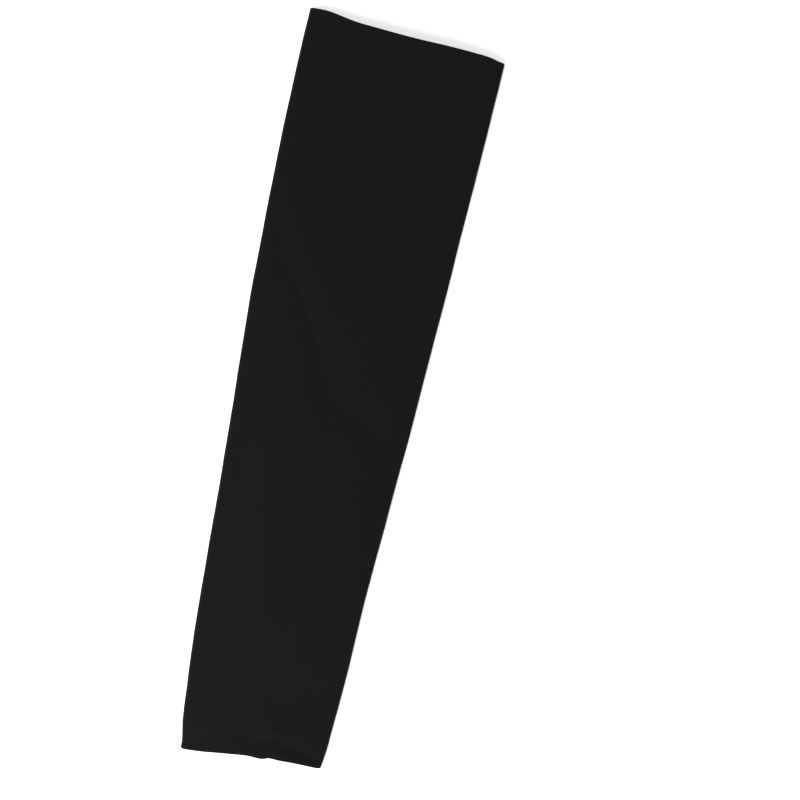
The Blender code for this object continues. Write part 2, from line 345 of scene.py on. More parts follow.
# The step where a hem's raw edge ends under the cloth, and the seam's bulk inside the hem
HEM_STEP_START = 0.0005
HEM_STEP_LENGTH = 0.0026
SEAM_STEP_LENGTH = 0.0006
STRIP_STEP_REACH = 0.0012
STRIP_STEP_LENGTH = 0.0016
SEAM_BULK_RISE = 0.9

# How a hem's stitches pull the cloth in. PULL_FADE is a share of each half of the width.
HEM_BEAD = 0.0022
ROW_WIDTH = 0.0022
ROW_CLEARANCE = 0.0005
PULL_FADE = 0.5
PULL_LOST_OVER_SEAM = 0.5

# Angles of the points round a cut cloth edge, and how far it bulges as a share of the ply
EDGE_TURNS = (math.pi / 4, math.pi / 2, 3 * math.pi / 4)
EDGE_BULGE = 0.25

# Steps for slopes, as a share of the half width, and for normals, in metres
SLOPE_STEP = 0.02
NORMAL_STEP = 0.0004

# Points that find the outline's widest places, and passes that settle where a line meets a column
OUTLINE_POINTS = 400
FOLLOW_PASSES = 3

# The seam strip's gap to the hems, the points of a hem's edge that it is kept from, and the turn from which
# its corners shade sharp
STRIP_CLEARANCE = 0.0005
STRIP_END_POINTS = 9
SHARP_CORNER = math.radians(60)

# Points of the line that the needle thread follows in the seam
SEAM_GUIDE_POINTS = 400

# Real sizes that the materials' patterns are scaled by, in metres
LOOP_RELIEF = 0.00012
FIBRE_SPACING = 0.0004
DYE_PATCH = 0.022
TABLE_GRAIN = 0.0025

# Length of one twist of a thread's strands, in thread diameters
THREAD_TWIST = 2

# The stage, in metres, and the camera's sensor in millimetres
FLOOR_REACH = 4.0
VIEW_DEPTH = 20.0
SENSOR_WIDTH = 36.0
WHITE = (1.0, 1.0, 1.0, 1.0)

# Mesh columns near the seam, in metres from it, and how many more there are to each fold
SEAM_COLUMNS = (0.00014, 0.00030, 0.00055, 0.00085, 0.0012, 0.0017, 0.0023, 0.0030)
TOP_COLUMNS = 34
FOLD_COLUMNS = 9
UNDER_COLUMNS = 44

# Mesh rows along the body, closer together at both ends of each stretch
ROWS_BELOW_CREASE = 140
ROWS_CREASE_TO_RIDGE = 34
ROWS_ABOVE_RIDGE = 100
ROW_CLOSENESS = 0.4


def look_up(rows, by, wanted, value):
    """The smooth curve through a table's column, at values of another column."""
    known, found = rows[by], rows[wanted]
    value = np.clip(value, known[0], known[-1])
    slopes = np.gradient(found, known)
    i = np.clip(np.searchsorted(known, value, side="right") - 1, 0, len(known) - 2)
    step = known[i + 1] - known[i]
    t = (value - known[i]) / step
    start = found[i] * (1 + 2 * t) * (1 - t) ** 2 + slopes[i] * step * t * (1 - t) ** 2
    end = found[i + 1] * t * t * (3 - 2 * t) + slopes[i + 1] * step * t * t * (t - 1)
    return start + end


def bump(share):
    """1 in the middle and 0 from half a width away. The share is of the width."""
    return np.where(np.abs(share) < 0.5, np.cos(np.pi * np.clip(share, -0.5, 0.5)) ** 2, 0.0)


def flanks(off, reach, bend, power):
    """1 on a line and 0 from its reach away, steepest beside the line, which a bend radius rounds."""
    from_line = np.hypot(off, bend) - bend
    return np.clip(1 - from_line / reach, 0, 1) ** power


def ease(share):
    """From 0 to 1, level at both ends."""
    share = np.clip(share, 0, 1)
    return share * share * (3 - 2 * share)


# A mouth of the sleeve: its edge's line, the way into the sleeve (1 is +Y), and its hem's sizes
Mouth = namedtuple("Mouth", "name edge inwards depth row gauge rise pull flare")


class SleeveForm:
    """Where the cloth lies: points of its outer side from a column round the tube and a distance along."""

    def __init__(self, scene):
        self.cut = scene.sleeve_cut
        self.cloth = scene.sleeve_cloth
        self.lie = scene.sleeve_lie
        self.sewing = scene.sleeve_sewing
        cut, lie, sewing = self.cut, self.lie, self.sewing
        self.mouths = (
            Mouth("upper", self.upper_edge, -1, cut.upper_hem, sewing.upper_row, sewing.upper_gauge,
                  lie.upper_rise, lie.upper_pull, lie.upper_flare),
            Mouth("wrist", self.wrist_edge, 1, cut.wrist_hem, sewing.wrist_row, sewing.wrist_gauge,
                  lie.wrist_rise, lie.wrist_pull, lie.wrist_flare),
        )
        self.near = SEAM_COLUMNS[-1]
        self.mean_half = (cut.upper_width + cut.wrist_width) / 4
        self.columns = self.columns_round()
        self.middle = self.middle_of_box()

    def upper_edge(self, across):
        """Distance from the wrist to the upper arm's edge."""
        return self.cut.length + self.cut.upper_swing * look_up(UPPER_EDGE, "across", "rise", across)

    def wrist_edge(self, across):
        """Distance from a square cut at the wrist to the wrist's edge."""
        return self.cut.wrist_swing * look_up(WRIST_EDGE, "across", "rise", across)

    def crease_line(self, across):
        """Distance from the wrist to the crease."""
        return self.cut.length * look_up(CREASE, "across", "along", across)

    def ridge_line(self, across):
        """Distance from the wrist to the ridge."""
        return self.cut.length * look_up(RIDGE, "across", "along", across)

    def steepness(self, line, across):
        """How much longer a step along the sleeve is than one square to a line across it."""
        low, high = np.maximum(across - SLOPE_STEP, -1), np.minimum(across + SLOPE_STEP, 1)
        return np.hypot(1, (line(high) - line(low)) / ((high - low) * self.mean_half))

    def crease_reach(self, across, side):
        """How far the crease reaches along the sleeve, below it for side -1 and above it for side 1."""
        reach = np.where(side < 0, self.lie.crease_below, self.lie.crease_above)
        return reach * look_up(CREASE, "across", "width", across) * self.steepness(self.crease_line, across)

    def ridge_reach(self, across, side):
        """How far the ridge reaches along the sleeve, below it for side -1 and above it for side 1."""
        reach = np.where(side < 0, self.lie.ridge_below, self.lie.ridge_above)
        return reach * self.steepness(self.ridge_line, across)

    def section(self, along):
        """Left fold, right fold and seam across the sleeve, and the crown."""
        cut, share = self.cut, along / self.cut.length
        widening = look_up(OUTLINE, "along", "ease", share)
        width = cut.wrist_width + (cut.upper_width - cut.wrist_width) * widening
        middle = cut.upper_width * look_up(OUTLINE, "along", "sway", share)
        seam = cut.upper_width * look_up(SEAM_PATH, "along", "across", share)
        crown = self.lie.crown * look_up(OUTLINE, "along", "crown", share)
        return middle - width / 2, middle + width / 2, seam, crown

    def middle_of_box(self):
        """The middle of the sleeve's outline, which the packed model has over its origin."""
        shares = np.linspace(0, 1, OUTLINE_POINTS)
        left, right, _, _ = self.section(shares * self.cut.length)
        across = 2 * shares - 1
        low, high = self.wrist_edge(across).min(), self.upper_edge(across).max()
        return np.array(((left.min() + right.max()) / 2, (low + high) / 2, 0.0))

    def columns_round(self):
        """The mesh columns round the tube, from the seam to the right, under the sleeve and back."""
        made = []
        for side in (1, -1):
            top = [(TOP, side, near, 0.0, 0.0) for near in SEAM_COLUMNS]
            top += [(TOP, side, self.near, i / TOP_COLUMNS, 0.0) for i in range(1, TOP_COLUMNS + 1)]
            turns = np.linspace(math.pi / 2 - FOLD_LEAN, -math.pi / 2, FOLD_COLUMNS + 2)[1:-1]
            made.append(top + [(FOLD, side, 0.0, 0.0, turn) for turn in turns])
        under = [(UNDER, 0, 0.0, share, 0.0) for share in np.linspace(1, -1, UNDER_COLUMNS + 1)]
        every = [(TOP, 0, 0.0, 0.0, 0.0)] + made[0] + under + made[1][::-1]
        return table("part side near share turn", every)

    def across(self, columns, along):
        """Where columns lie between the left fold at -1, the seam at 0 and the right fold at 1."""
        left, right, seam, _ = self.section(along)
        side, part = columns["side"], columns["part"]
        half = self.half_top(side, left, right, seam)
        off = columns["near"] + columns["share"] * (half - self.near)
        return np.where(part == TOP, side * off / half, np.where(part == FOLD, side, columns["share"]))

    def half_top(self, side, left, right, seam):
        """From the seam to where the top ply meets a side fold."""
        inset = self.lie.fold * (1 - math.sin(FOLD_LEAN))
        return np.where(side < 0, seam - left, right - seam) - inset

    def follow(self, line, columns):
        """Where a line across the sleeve meets each column. Underneath, it bends half as much as on top."""
        straight = line(-1.0) + (columns["share"] + 1) / 2 * (line(1.0) - line(-1.0))
        along = line(columns["side"] * columns["share"])
        for _ in range(FOLLOW_PASSES):
            along = line(self.across(columns, along))
        return np.where(columns["part"] == UNDER, (straight + along) / 2, along)

    def from_edge(self, mouth, columns, across, along):
        """How far a point is from a mouth's edge, back along the sleeve."""
        straight = mouth.edge(-1.0) + (across + 1) / 2 * (mouth.edge(1.0) - mouth.edge(-1.0))
        edge = mouth.edge(across)
        edge = np.where(columns["part"] == UNDER, (straight + edge) / 2, edge)
        return mouth.inwards * (along - edge)

    def folds_and_dents(self, across, x, along):
        """Height of the crease, the ridge and the soft dents of the top ply."""
        lie = self.lie
        off = along - self.crease_line(across)
        depth = lie.crease_depth * look_up(CREASE, "across", "depth", across)
        height = -depth * flanks(off, self.crease_reach(across, off), CREASE_BEND, CREASE_POWER)
        off = along - self.ridge_line(across)
        rise = lie.ridge_height * look_up(RIDGE, "across", "height", across)
        height = height + rise * flanks(off, self.ridge_reach(across, off), RIDGE_BEND, RIDGE_POWER)
        left, right, seam, _ = self.section(DENTS["along"] * self.cut.length)
        halves = np.where(DENTS["across"] < 0, seam - left, right - seam)
        dent_x = seam + DENTS["across"] * halves
        for i in range(len(dent_x)):
            turn = math.radians(DENTS["turn"][i])
            dx, dy = x - dent_x[i], along - DENTS["along"][i] * self.cut.length
            wide = (dx * math.cos(turn) + dy * math.sin(turn)) / (DENTS["wide"][i] * self.cut.upper_width)
            long = (dy * math.cos(turn) - dx * math.sin(turn)) / (DENTS["long"][i] * self.cut.upper_width)
            height = height + lie.dent * DENTS["height"][i] * np.exp(-wide ** 2 - long ** 2)
        return height * ease((1 - np.abs(across)) / SIDE_FADE)

    def seam_marks(self, off, along):
        """The line of the seam and the small puckers on both sides of it."""
        lie = self.lie
        share = along / self.cut.length
        depth = lie.seam_depth * look_up(SEAM_LOOK, "along", "line", share)
        line = -depth * np.clip(1 - np.abs(off) / (lie.seam_width / 2), 0, 1) ** 2
        left = look_up(SEAM_LOOK, "along", "left", share)
        right = look_up(SEAM_LOOK, "along", "right", share)
        drift = sum(turn * np.sin(along / length + start) for turn, length, start in PUCKER_DRIFT)
        lag = np.where(off < 0, PUCKER_LAG, 0.0)
        phase = 2 * np.pi * along / (PUCKER_SPACING * self.sewing.stitch) + drift + lag
        fade = np.exp(-(off / PUCKER_REACH) ** 2) * (1 - np.exp(-(off / PUCKER_START) ** 2))
        return line + lie.pucker * np.where(off < 0, left, right) * np.cos(phase) * fade

    def hem_marks(self, columns, across, off, along):
        """How a hem's inner ply, its stitch rows and the seam inside it shape the outer side."""
        on_top = columns["part"] == TOP
        upwards = np.where(columns["part"] == FOLD, (1 + np.sin(columns["turn"])) / 2, 1.0)
        upwards = np.where(columns["part"] == UNDER, 0.0, upwards)
        strip_end = self.cut.allowance + STRIP_STEP_REACH
        over_seam = ease(off / SEAM_STEP_LENGTH) * ease((strip_end - off) / STRIP_STEP_LENGTH)
        lift = upwards * (1 + SEAM_BULK_RISE * over_seam * on_top)
        sewn = ease((1 - np.abs(across)) / PULL_FADE) * (1 - PULL_LOST_OVER_SEAM * over_seam) * on_top
        height = 0.0
        for mouth in self.mouths:
            back = self.from_edge(mouth, columns, across, along)
            step_end = mouth.depth + HEM_STEP_START + HEM_STEP_LENGTH
            doubled = ease((step_end - back) / HEM_STEP_LENGTH)
            last_row = mouth.row + mouth.gauge
            from_lip = ease((back - HEM_BEAD) / (last_row - HEM_BEAD))
            to_flap = ease((back - last_row - ROW_CLEARANCE) / (mouth.depth - last_row))
            flare, pull = mouth.flare * (1 - from_lip), mouth.pull * from_lip * (1 - to_flap)
            height = height + mouth.rise * lift * doubled + sewn * (flare - pull)
            for row in (mouth.row, last_row):
                height = height - self.lie.row_depth * bump((back - row) / ROW_WIDTH)
        return height

    def waves(self, x, along):
        """Height of the slight waves all over the cloth."""
        turned = [x * math.cos(t) + along * math.sin(t) for t in np.radians(WAVES["turn"])]
        parts = zip(turned, WAVES["length"], WAVES["phase"], WAVES["height"])
        return self.lie.unevenness * sum(h * np.sin(2 * np.pi * d / size + p) for d, size, p, h in parts)

    def place(self, columns, along):
        """The points of the outer side where columns cross distances from the wrist."""
        lie, part, side, turn = self.lie, columns["part"], columns["side"], columns["turn"]
        left, right, seam, crown = self.section(along)
        across = self.across(columns, along)
        bend = np.where(side < 0, left + lie.fold, right - lie.fold)
        fold_x = bend + side * lie.fold * np.cos(turn)
        fold_z = lie.fold * (1 + np.sin(turn))
        under_x = left + lie.fold + (across + 1) / 2 * (right - left - 2 * lie.fold)
        off = across * self.half_top(side, left, right, seam)
        shoulder = lie.fold * (1 + math.cos(FOLD_LEAN))
        top_z = shoulder + crown * (1 - np.abs(np.clip(across, -1, 1)) ** CROWN_POWER)

        x = np.where(part == TOP, seam + off, np.where(part == FOLD, fold_x, under_x))
        waves = self.waves(x, along)
        off_top = np.where(part == TOP, off, np.inf)
        top = self.folds_and_dents(across, x, along) + self.seam_marks(off, along) + waves
        out = np.where(part == TOP, top, np.where(part == FOLD, waves * np.cos(turn), 0.0))
        out = out + self.hem_marks(columns, across, off_top, along)
        lift = WAVES_LIMIT * lie.unevenness + self.sewing.thread / 2 + waves
        lift = np.where(part == UNDER, lift, 0.0) * ease((1 - np.abs(across)) / SIDE_FADE)

        lean = np.where(part == TOP, side * FOLD_LEAN * np.abs(across) ** LEAN_POWER, np.pi / 2 - turn)
        lean = np.where(part == UNDER, np.pi, lean * np.where(part == FOLD, side, 1))
        x = x + out * np.sin(lean)
        z = np.where(part == TOP, top_z, np.where(part == FOLD, fold_z, 0.0)) + out * np.cos(lean) + lift
        y = along + np.zeros_like(x)
        return np.stack((x, y, z), axis=-1) - self.middle

    def normal(self, columns, along):
        """The outward directions of the outer side there."""
        before = {name: np.roll(column, 1) for name, column in columns.items()}
        after = {name: np.roll(column, -1) for name, column in columns.items()}
        round_it = self.place(after, along) - self.place(before, along)
        along_it = self.place(columns, along + NORMAL_STEP) - self.place(columns, along - NORMAL_STEP)
        normal = np.cross(round_it, along_it)
        return normal / np.linalg.norm(normal, axis=-1, keepdims=True)

    def by_the_seam(self, offs, along):
        """Points of the outer side at distances to the right of the seam, and the outward directions."""
        def at(shift, distance):
            columns = table("part side near share turn", [(TOP, 1, off + shift, 0.0, 0.0) for off in offs])
            return self.place(columns, distance[:, None])

        step = self.lie.seam_width
        sideways = at(step, along) - at(-step, along)
        lengthwise = at(0.0, along + NORMAL_STEP) - at(0.0, along - NORMAL_STEP)
        normals = np.cross(sideways, lengthwise)
        return at(0.0, along), normals / np.linalg.norm(normals, axis=-1, keepdims=True)

    def body_rows(self):
        """The lines across the body, from the wrist hem's raw edge to the upper hem's."""
        def wrist_end(across):
            return self.wrist_edge(across) + self.cut.wrist_hem

        def upper_end(across):
            return self.upper_edge(across) - self.cut.upper_hem

        def spread(first, last, count):
            turns = np.linspace(0, 2 * np.pi, count + 1)
            shares = (turns - ROW_CLOSENESS * np.sin(turns)) / (2 * np.pi)
            return [lambda across, s=s: (1 - s) * first(across) + s * last(across) for s in shares]

        below = spread(wrist_end, self.crease_line, ROWS_BELOW_CREASE)
        between = spread(self.crease_line, self.ridge_line, ROWS_CREASE_TO_RIDGE)
        above = spread(self.ridge_line, upper_end, ROWS_ABOVE_RIDGE)
        return below + between[1:-1] + above


def round_the_tube(points):
    """Distance round the tube to each column, from the middle of the under ply, closed by a last column."""
    closed = np.concatenate((points, points[:, :1]), axis=1)
    steps = np.linalg.norm(np.diff(closed[..., (0, 2)], axis=1), axis=-1)
    reached = np.concatenate((np.zeros((len(points), 1)), np.cumsum(steps, axis=1)), axis=1)
    return reached - reached[:, -1:] / 2


def shell_object(name, points, normals, u, v, slots, materials):
    """One closed cloth shell. Its rings of points run over the outer side, round the edge and back."""
    rings, round_count = points.shape[:2]
    corner = np.arange(rings * round_count).reshape(rings, round_count)
    after = np.roll(corner, -1, axis=0)
    quads = np.stack((corner, np.roll(corner, -1, axis=1), np.roll(after, -1, axis=1), after), axis=-1)
    v = np.concatenate((v, v[-1:]), axis=0)
    u = np.concatenate((u, u[-1:]), axis=0)
    flat = np.stack((u, v), axis=-1)
    corners_uv = np.stack((flat[:-1, :-1], flat[:-1, 1:], flat[1:, 1:], flat[1:, :-1]), axis=2)
    a, b, c, d = (points.reshape(-1, 3)[quads[..., i].ravel()] for i in range(4))
    volume = np.einsum("ij,ij->", a, np.cross(b, c)) + np.einsum("ij,ij->", a, np.cross(c, d))
    if volume < 0:
        quads = quads[..., ::-1]
        corners_uv = corners_uv[..., ::-1, :]
    mesh = bpy.data.meshes.new(name)
    mesh.from_pydata(points.reshape(-1, 3), [], quads.reshape(-1, 4).tolist())
    layer = mesh.uv_layers.new(name="cloth")
    layer.data.foreach_set("uv", corners_uv.astype(np.float32).ravel())
    for material in materials:
        mesh.materials.append(material)
    mesh.polygons.foreach_set("material_index", np.repeat(slots, round_count).astype(np.int32))
    mesh.shade_smooth()
    mesh.normals_split_custom_set_from_vertices(normals.reshape(-1, 3).tolist())
    mesh.update()
    if mesh.validate():
        raise RuntimeError(f"{name} has a faulty face")
    obj = bpy.data.objects.new(name, mesh)
    bpy.context.scene.collection.objects.link(obj)
    return obj


def facing(normals, mouthwards, angle):
    """Directions turned from the outer side's normal towards a mouth by an angle."""
    return normals * math.cos(angle) + np.array((0.0, mouthwards, 0.0)) * math.sin(angle)


def make_body(form, materials):
    """The knit tube between the two hems, as one closed shell. Its outer side takes the knit's face."""
    columns, ply = form.columns, form.cloth.ply
    along = np.array([form.follow(row, columns) for row in form.body_rows()])
    outer, normals = form.place(columns, along), form.normal(columns, along)
    u = round_the_tube(outer)
    v = np.concatenate((along, along[:, :1]), axis=1)
    rims = [(outer[i] - normals[i] * ply / 2)[None] for i in (-1, 0)]
    rim_normals = [facing(normals[i], way, math.pi / 2)[None] for i, way in ((-1, 1), (0, -1))]
    points = np.concatenate((outer, rims[0], (outer - normals * ply)[::-1], rims[1]))
    directions = np.concatenate((normals, rim_normals[0], -normals[::-1], rim_normals[1]))
    u = np.concatenate((u, u[-1:], u[::-1], u[:1]))
    v = np.concatenate((v, v[-1:], v[::-1], v[:1]))
    count = len(along)
    slots = np.array([0] * count + [1] * (count + 2))
    return shell_object("sleeve_knit", points, directions, u, v, slots, materials)


def hem_profile(depth, ply, gap, lip_steps=10, rows=26):
    """A hem's section, from the outer side over the lip to the raw edge and back between the plies.

    back: distance from the mouth. inset: depth under the outer side. turn: angle that it faces. run:
    distance along the cloth. slot: the knit's face or its purl side.
    """
    thick = 2 * ply + gap
    middle = thick / 2
    span = depth - middle
    backs = [depth - span * i / rows for i in range(rows + 1)]
    turns = [math.pi * i / lip_steps for i in range(1, lip_steps)]
    outside = [(back, 0.0, 0.0, depth - back, 0) for back in backs]
    run = span
    lip = [(middle * (1 - math.sin(t)), middle * (1 - math.cos(t)), t, run + middle * t, 0) for t in turns]
    run += middle * math.pi
    inside = [(back, thick, math.pi, run + back - middle, 0) for back in backs[::-1]]
    run += span
    raw = [(depth + EDGE_BULGE * ply * math.sin(t), thick - ply / 2 * (1 - math.cos(t)), math.pi + t,
            run, 1) for t in EDGE_TURNS]
    back_inside = [(back, ply + gap, 2 * math.pi, run - back, 1) for back in backs]
    crook = [(middle - gap / 2 * math.sin(t), middle + gap / 2 * math.cos(t), -t, run, 1)
             for t in EDGE_TURNS]
    last = [(back, ply, math.pi, back, 1) for back in backs[::-1]]
    rim = [(depth, ply / 2, 1.5 * math.pi, 0.0, 1)]
    inner = raw + back_inside + crook + last
    return table("back inset turn run slot", outside + lip + inside + inner + rim)


def make_hem(form, mouth, materials):
    """A mouth's hem: the cloth turned inside over the lip to its raw edge, as one closed shell."""
    columns = form.columns
    profile = hem_profile(mouth.depth, form.cloth.ply, form.cloth.ply_gap)
    edge = form.follow(mouth.edge, columns)
    along = edge[None, :] + mouth.inwards * profile["back"][:, None]
    outer, normals = form.place(columns, along), form.normal(columns, along)
    points = outer - normals * profile["inset"][:, None, None]
    directions = np.array([facing(n, -mouth.inwards, t) for n, t in zip(normals, profile["turn"])])
    u = round_the_tube(outer)
    level = edge + mouth.inwards * mouth.depth
    v = level[None, :] - mouth.inwards * profile["run"][:, None]
    v = np.concatenate((v, v[:, :1]), axis=1)
    return shell_object(f"{mouth.name}_hem_band", points, directions, u, v, profile["slot"], materials)


def add(tree, kind, inputs=None, **settings):
    """A node with its settings. inputs gives sockets, by name or number, a value or a node's output."""
    node = tree.nodes.new(kind)
    for name, value in settings.items():
        setattr(node, name, value)
    for key, value in (inputs or {}).items():
        if isinstance(value, bpy.types.NodeSocket):
            tree.links.new(value, node.inputs[key])
        else:
            node.inputs[key].default_value = value
    return node


def new_material(name):
    """An empty material and its node tree."""
    material = bpy.data.materials.new(name)
    material.use_nodes = True
    material.node_tree.nodes.clear()
    return material, material.node_tree


def knit_material(name, cloth, colour, purl):
    """Weft-knitted nylon and elastane jersey in black dye: matt, with fine wales that only show close by.

    The face has columns of small V-shaped loops. The purl side has rows of rounder bumps. Both carry
    painted shade: their colour is painted darker in the hollows between the loops.
    """
    material, tree = new_material(name)
    uv = add(tree, "ShaderNodeUVMap", uv_map="cloth")
    parts = add(tree, "ShaderNodeSeparateXYZ", {0: uv.outputs["UV"]})
    wales = add(tree, "ShaderNodeMath", {0: parts.outputs["X"], 1: cloth.wale}, operation="DIVIDE")
    courses = add(tree, "ShaderNodeMath", {0: parts.outputs["Y"], 1: cloth.course}, operation="DIVIDE")
    in_wale = add(tree, "ShaderNodeMath", {0: wales.outputs[0]}, operation="FRACT")
    centred = add(tree, "ShaderNodeMath", {0: in_wale.outputs[0], 1: 0.5}, operation="SUBTRACT")
    from_middle = add(tree, "ShaderNodeMath", {0: centred.outputs[0]}, operation="ABSOLUTE")
    leg_turn = add(tree, "ShaderNodeMath", {0: from_middle.outputs[0], 1: math.tau}, operation="MULTIPLY")
    leg = add(tree, "ShaderNodeMath", {0: leg_turn.outputs[0]}, operation="SINE")
    # How steeply the legs of a loop slant, in courses for each wale of width
    slant = 0.55 if purl else 1.3
    slanted = add(tree, "ShaderNodeMath", {0: from_middle.outputs[0], 1: slant, 2: courses.outputs[0]},
                  operation="MULTIPLY_ADD")
    course_turn = add(tree, "ShaderNodeMath", {0: slanted.outputs[0], 1: math.tau}, operation="MULTIPLY")
    loop = add(tree, "ShaderNodeMath", {0: course_turn.outputs[0]}, operation="COSINE")
    loop_up = add(tree, "ShaderNodeMath", {0: loop.outputs[0], 1: 0.5, 2: 0.5}, operation="MULTIPLY_ADD")
    if purl:
        height = loop_up
    else:
        height = add(tree, "ShaderNodeMath", {0: leg.outputs[0], 1: loop_up.outputs[0]},
                     operation="MULTIPLY")
    place = add(tree, "ShaderNodeTexCoord")
    fuzz = add(tree, "ShaderNodeTexNoise", {"Vector": place.outputs["Object"], "Scale": 1 / FIBRE_SPACING,
                                            "Detail": 2.0})
    blotch = add(tree, "ShaderNodeTexNoise", {"Vector": place.outputs["Object"], "Scale": 1 / DYE_PATCH,
                                              "Detail": 3.0})
    raised = add(tree, "ShaderNodeMath", {0: fuzz.outputs["Fac"], 1: 0.35, 2: height.outputs[0]},
                 operation="MULTIPLY_ADD")
    # Painted shade: the colour goes towards the darker gap shade where the loop height is low, between the
    # loops
    colour_with_painted_shade = add(tree, "ShaderNodeMix", {"Factor": height.outputs[0], "A": (*cloth.painted_gap_shade, 1.0),
                                       "B": (*colour, 1.0)}, data_type="RGBA")
    shade = add(tree, "ShaderNodeMapRange", {"Value": blotch.outputs["Fac"], "From Min": 0.3,
                                             "From Max": 0.7, "To Min": 0.98, "To Max": 1.02})
    # The colour with its painted shade, made a little lighter or darker in random dye patches
    dye_and_painted_shade = add(tree, "ShaderNodeVectorMath", {0: colour_with_painted_shade.outputs["Result"], 1: shade.outputs["Result"]},
               operation="MULTIPLY")
    bumped = add(tree, "ShaderNodeBump", {"Strength": 0.5, "Distance": LOOP_RELIEF,
                                          "Height": raised.outputs[0]})
    rough = add(tree, "ShaderNodeMapRange", {"Value": fuzz.outputs["Fac"], "To Min": 0.72, "To Max": 0.90})
    shader = add(tree, "ShaderNodeBsdfPrincipled", {
        "Base Color": dye_and_painted_shade.outputs["Vector"], "Roughness": rough.outputs["Result"],
        "Normal": bumped.outputs["Normal"], "IOR": 1.45, "Specular IOR Level": 0.05,
        "Sheen Weight": 0.02, "Sheen Roughness": 0.5,
    })
    add(tree, "ShaderNodeOutputMaterial", {"Surface": shader.outputs["BSDF"]})
    return material


def thread_material(name, cloth, sewing):
    """Spun polyester sewing thread in black dye: smoother than the knit, so it catches more light."""
    material, tree = new_material(name)
    place = add(tree, "ShaderNodeTexCoord")
    strand = add(tree, "ShaderNodeTexNoise", {"Vector": place.outputs["Object"],
                                              "Scale": 1 / (THREAD_TWIST * sewing.thread), "Detail": 2.0})
    # Painted shade: the colour goes darker in places, at the scale of the strands' twist, towards the
    # painted gap shade
    colour_with_painted_shade = add(tree, "ShaderNodeMix", {"Factor": strand.outputs["Fac"], "A": (*cloth.painted_gap_shade, 1.0),
                                       "B": (*cloth.thread, 1.0)}, data_type="RGBA")
    bumped = add(tree, "ShaderNodeBump", {"Strength": 0.4, "Distance": sewing.thread / 6,
                                          "Height": strand.outputs["Fac"]})
    shader = add(tree, "ShaderNodeBsdfPrincipled", {
        "Base Color": colour_with_painted_shade.outputs["Result"], "Roughness": 0.55, "Normal": bumped.outputs["Normal"],
        "IOR": 1.5, "Specular IOR Level": 0.07,
    })
    add(tree, "ShaderNodeOutputMaterial", {"Surface": shader.outputs["BSDF"]})
    return material


def floor_material(colour, glow):
    """Matt white acrylic of a photo table, lit a little from below: no grain to see, and pale shadows."""
    material, tree = new_material("white_acrylic_table")
    place = add(tree, "ShaderNodeTexCoord")
    grain = add(tree, "ShaderNodeTexNoise", {"Vector": place.outputs["Object"],
                                             "Scale": 1 / TABLE_GRAIN})
    rough = add(tree, "ShaderNodeMapRange", {"Value": grain.outputs["Fac"], "To Min": 0.85, "To Max": 0.95})
    shader = add(tree, "ShaderNodeBsdfPrincipled", {
        "Base Color": (*colour, 1.0), "Roughness": rough.outputs["Result"], "Specular IOR Level": 0.1,
        "Emission Color": WHITE, "Emission Strength": glow,
    })
    add(tree, "ShaderNodeOutputMaterial", {"Surface": shader.outputs["BSDF"]})
    return material


# Each kind of stitch as short bent legs: start, middle and end, in shares of the stitch's spacing, width
# and height. The first number runs along the row, the second across it and the third outwards. A leg is
# this many straight edges.
LEG_EDGES = 6
NEEDLE_STITCH = [((-0.44, 0, -0.9), (0, 0, 0.8), (0.44, 0, -0.9))]
LOOPER_STITCH = [
    ((-0.5, -0.5, 0.0), (-0.25, 0.0, 1.0), (0.0, 0.5, 0.0)),
    ((0.0, 0.5, 0.0), (0.25, 0.0, 1.0), (0.5, -0.5, 0.0)),
    ((-0.5, -0.5, 0.2), (0.0, -0.58, 0.9), (0.5, -0.5, 0.2)),
    ((-0.5, 0.5, 0.2), (0.0, 0.58, 0.9), (0.5, 0.5, 0.2)),
]
OVERLOCK_STITCH = [
    ((-0.5, 0.0, -1.0), (-0.25, 0.5, -1.2), (0.0, 1.0, -1.0)),
    ((0.0, 1.0, -1.0), (0.25, 0.5, -1.2), (0.5, 0.0, -1.0)),
    ((0.0, 1.0, -1.0), (0.0, 1.14, -0.5), (0.0, 1.0, 0.0)),
    ((-0.5, 0.0, -1.0), (0.0, -0.02, -1.2), (0.5, 0.0, -1.0)),
]
SEAM_RUNG = [((-0.16, -0.5, 0.2), (0.0, 0.0, 0.2), (0.16, 0.5, 0.2))]


